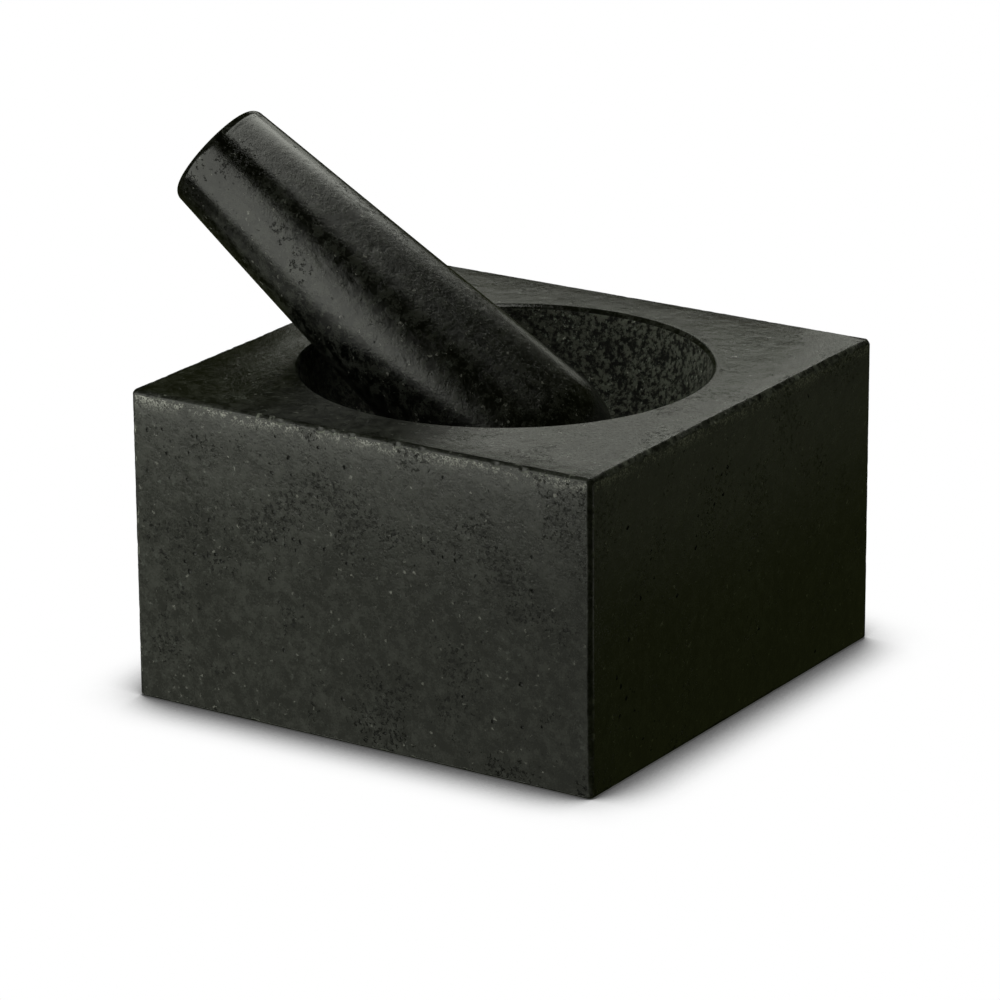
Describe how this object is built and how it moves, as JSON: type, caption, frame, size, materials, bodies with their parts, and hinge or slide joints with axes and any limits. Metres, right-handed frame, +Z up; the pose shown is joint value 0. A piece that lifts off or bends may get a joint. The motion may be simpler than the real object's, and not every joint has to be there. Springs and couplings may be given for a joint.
{
  "type": "mortar and pestle",
  "caption": "Square polished stone block with a round bowl ground into its top, and a loose tapered stone pestle leaning in the bowl, for grinding spices and sauces.",
  "frame": {"origin": "centre of the square block's underside, on the surface that it stands on", "axes": "+Z up, X and Y along the block's sides; the pestle's grip leans out over the block's -X side and its head points towards +X"},
  "size_m": [0.1511, 0.13, 0.1331],
  "materials": {
    "block_stone": "satin",
    "pestle_stone": "gloss"
  },
  "bodies": {
    "mortar": {"mortar_block": "block_stone"},
    "pestle": {"pestle": "pestle_stone"}
  },
  "joints": [
    {"name": "pestle_lift", "type": "slide", "parent": "mortar", "child": "pestle", "axis": [0, 0, 1], "range_m": [0, 0.06]}
  ]
}
